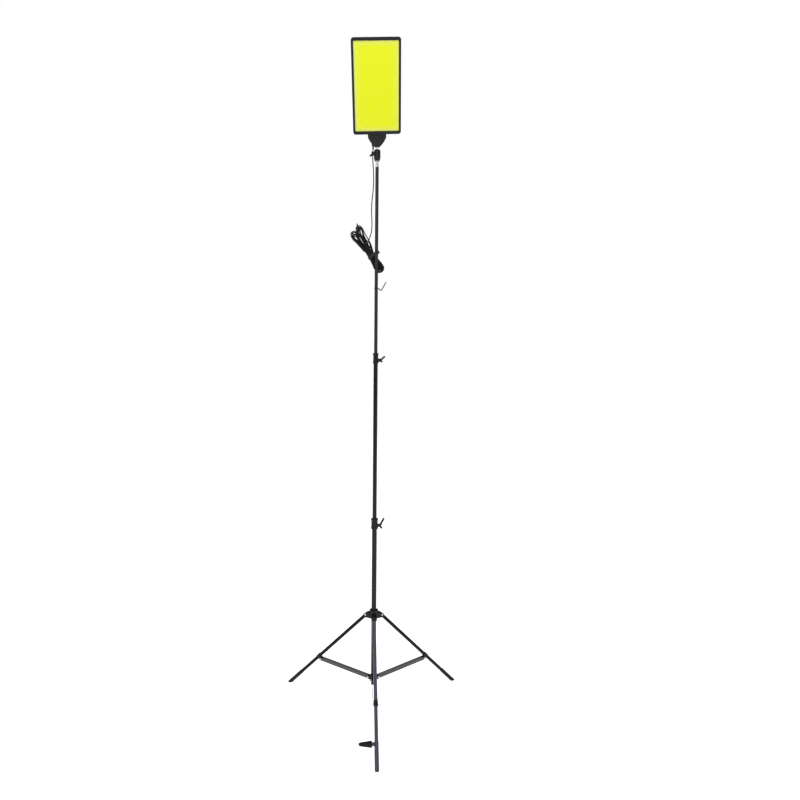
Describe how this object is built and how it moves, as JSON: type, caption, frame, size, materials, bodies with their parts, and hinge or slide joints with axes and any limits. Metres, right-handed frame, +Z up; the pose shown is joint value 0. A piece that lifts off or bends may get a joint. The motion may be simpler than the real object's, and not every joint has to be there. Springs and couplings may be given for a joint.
{
  "type": "led panel light",
  "caption": "Flat LED panel on a ball head and a telescopic folding tripod stand, with its supply cord tied in a hank on the mast.",
  "frame": {"origin": "on the floor under the column axis, midway between the feet", "axes": "+Z up the column; -Y towards the front leg and the lit face; +X to the right of the lit face as seen from the front"},
  "size_m": [0.693, 0.6023, 2.4773],
  "materials": {
    "tube_black": "semi-gloss black powder coat on steel tube",
    "leg_black": "semi-gloss black powder coat on the leg tubes",
    "brace_grey": "grey powder coat on stamped flat bars",
    "moulded_black": "matte moulded glass-filled nylon",
    "knob_black": "satin moulded knob with a steel screw",
    "nylon_white": "natural nylon bushes and glides",
    "rivet_steel": "bright steel rivets",
    "hook_steel": "zinc plated wire",
    "screw_steel": "blackened steel screws",
    "chrome": "polished chrome",
    "spigot_silver": "turned aluminium",
    "foot_rubber": "matte rubber foot sleeve",
    "bezel_black": "fine-textured black ABS",
    "shell_black": "black anodised finned aluminium",
    "phosphor": "lemon-yellow phosphor silicone over the chips",
    "board_white": "white solder mask on an aluminium board",
    "pcb_green": "green circuit board with its components",
    "brass": "brass threaded insert",
    "cord_black": "PVC cord jacket",
    "tie_black": "woven hook-and-loop strap",
    "plug_grey": "moulded plug with a nickel barrel",
    "button_grey": "soft-touch push button"
  },
  "bodies": {
    "column": {"lower_tube": "tube_black", "column_end_cap": "moulded_black", "lower_spider": "moulded_black", "spider_rivets": "rivet_steel", "lower_collar": "moulded_black", "lower_collar_bush": "nylon_white"},
    "lower_clamp": {"lower_collar_knob": "knob_black"},
    "hub": {"leg_hub": "moulded_black", "hub_bush": "nylon_white", "hub_rivets": "rivet_steel"},
    "hub_clamp": {"hub_knob": "knob_black"},
    "front_foot": {"levelling_foot": "foot_rubber"},
    "front_foot_clamp": {"foot_knob": "knob_black"},
    "middle": {"middle_tube": "tube_black", "middle_tube_glide": "nylon_white", "upper_collar": "moulded_black", "upper_collar_bush": "nylon_white"},
    "upper_clamp": {"upper_collar_knob": "knob_black"},
    "upper_carriage": {"upper_tube_glide": "nylon_white"},
    "mast": {"upper_tube": "tube_black", "cable_hook": "hook_steel", "top_spigot": "spigot_silver", "ball_head_body": "moulded_black", "pressure_pad": "nylon_white", "cord_lead": "cord_black", "cord_hank": "cord_black", "hank_tie": "tie_black", "cord_plug": "plug_grey"},
    "ball_clamp": {"ball_head_knob": "knob_black"},
    "ball_seat": {"ball_liner": "nylon_white"},
    "ball": {"ball_stem": "chrome"},
    "head": {"lock_ring": "chrome", "mount_bracket": "moulded_black", "tripod_nut": "brass", "bracket_screws": "screw_steel", "cable_gland": "moulded_black", "panel_bezel": "bezel_black", "phosphor_coat": "phosphor", "rear_shell": "shell_black", "led_board": "board_white", "panel_screws": "screw_steel", "driver_board": "pcb_green"},
    "button": {"power_button": "button_grey"},
    "front_leg": {"front_leg_tube": "leg_black", "front_leg_knuckle": "moulded_black", "front_brace_bracket": "moulded_black"},
    "front_brace": {"front_brace_bars": "brace_grey", "front_brace_rivet": "rivet_steel"},
    "right_leg": {"right_leg_tube": "leg_black", "right_leg_knuckle": "moulded_black", "right_brace_bracket": "moulded_black", "right_foot": "foot_rubber"},
    "right_brace": {"right_brace_bars": "brace_grey", "right_brace_rivet": "rivet_steel"},
    "left_leg": {"left_leg_tube": "leg_black", "left_leg_knuckle": "moulded_black", "left_brace_bracket": "moulded_black", "left_foot": "foot_rubber"},
    "left_brace": {"left_brace_bars": "brace_grey", "left_brace_rivet": "rivet_steel"}
  },
  "joints": [
    {"name": "hub_slide", "type": "slide", "parent": "column", "child": "hub", "axis": [0, 0, 1], "range_m": [0, 0.28072]},
    {"name": "front_leg_fold", "type": "hinge", "parent": "hub", "child": "front_leg", "pos_m": [0, -0.032, 0.346], "axis": [1, 0, 0], "range_deg": [0, 46.03]},
    {"name": "front_brace_fold", "type": "hinge", "parent": "column", "child": "front_brace", "pos_m": [0, -0.02, 0.108], "axis": [-1, 0, 0], "range_deg": [0, 84.41]},
    {"name": "right_leg_fold", "type": "hinge", "parent": "hub", "child": "right_leg", "pos_m": [0.02771, 0.016, 0.346], "axis": [-0.5, 0.866, 0], "range_deg": [0, 46.03]},
    {"name": "right_brace_fold", "type": "hinge", "parent": "column", "child": "right_brace", "pos_m": [0.01732, 0.01, 0.108], "axis": [0.5, -0.866, 0], "range_deg": [0, 84.41]},
    {"name": "left_leg_fold", "type": "hinge", "parent": "hub", "child": "left_leg", "pos_m": [-0.02771, 0.016, 0.346], "axis": [-0.5, -0.866, 0], "range_deg": [0, 46.03]},
    {"name": "left_brace_fold", "type": "hinge", "parent": "column", "child": "left_brace", "pos_m": [-0.01732, 0.01, 0.108], "axis": [0.5, 0.866, 0], "range_deg": [0, 84.41]},
    {"name": "lower_clamp_turn", "type": "hinge", "parent": "column", "child": "lower_clamp", "pos_m": [0.014, 0, 0.692], "axis": [1, 0, 0], "range_deg": [-180, 180]},
    {"name": "hub_clamp_turn", "type": "hinge", "parent": "hub", "child": "hub_clamp", "pos_m": [0, 0.02, 0.352], "axis": [0, 1, 0], "range_deg": [-180, 180]},
    {"name": "upper_clamp_turn", "type": "hinge", "parent": "middle", "child": "upper_clamp", "pos_m": [0.012, 0, 1.326], "axis": [1, 0, 0], "range_deg": [-180, 180]},
    {"name": "ball_clamp_turn", "type": "hinge", "parent": "mast", "child": "ball_clamp", "pos_m": [-0.01073, -0.009, 2.114], "axis": [-0.766, -0.6428, 0], "range_deg": [-180, 180]},
    {"name": "front_foot_slide", "type": "slide", "parent": "front_leg", "child": "front_foot", "axis": [0, -0.7191, -0.695], "range_m": [0, 0.04]},
    {"name": "front_foot_clamp_turn", "type": "hinge", "parent": "front_foot", "child": "front_foot_clamp", "pos_m": [-0.01, -0.33607, 0.05212], "axis": [-1, 0, 0], "range_deg": [-180, 180]},
    {"name": "middle_tube_slide", "type": "slide", "parent": "column", "child": "middle", "axis": [0, 0, 1], "range_m": [-0.525, 0]},
    {"name": "upper_tube_slide", "type": "slide", "parent": "middle", "child": "upper_carriage", "axis": [0, 0, 1], "range_m": [-0.235, 0]},
    {"name": "upper_tube_turn", "type": "hinge", "parent": "upper_carriage", "child": "mast", "pos_m": [0, 0, 1.3], "axis": [0, 0, 1], "continuous": true},
    {"name": "ball_lean", "type": "hinge", "parent": "mast", "child": "ball_seat", "pos_m": [0, 0, 2.127], "axis": [0, 1, 0], "range_deg": [-17.7, 22.3], "deforming": ["cord_lead"]},
    {"name": "ball_tilt", "type": "hinge", "parent": "ball_seat", "child": "ball", "pos_m": [0, 0, 2.127], "axis": [0.9992, 0, 0.0401], "range_deg": [-65.5, 14.5], "deforming": ["cord_lead"]},
    {"name": "panel_spin", "type": "hinge", "parent": "ball", "child": "head", "pos_m": [0, 0, 2.127], "axis": [-0.0362, -0.4305, 0.9019], "range_deg": [-90, 90], "deforming": ["cord_lead"]},
    {"name": "power_button_press", "type": "slide", "parent": "head", "child": "button", "axis": [0.0173, -0.9026, -0.4302], "range_m": [0, 0.0015], "stiffness_N_per_m": 500, "springref_m": -0.001}
  ],
  "couplings": [
    {"joint": "front_leg_fold", "follows": "hub_slide", "rad_per_m": 2.8585},
    {"joint": "front_brace_fold", "follows": "hub_slide", "rad_per_m": 5.2452},
    {"joint": "right_leg_fold", "follows": "hub_slide", "rad_per_m": 2.8585},
    {"joint": "right_brace_fold", "follows": "hub_slide", "rad_per_m": 5.2452},
    {"joint": "left_leg_fold", "follows": "hub_slide", "rad_per_m": 2.8585},
    {"joint": "left_brace_fold", "follows": "hub_slide", "rad_per_m": 5.2452}
  ]
}
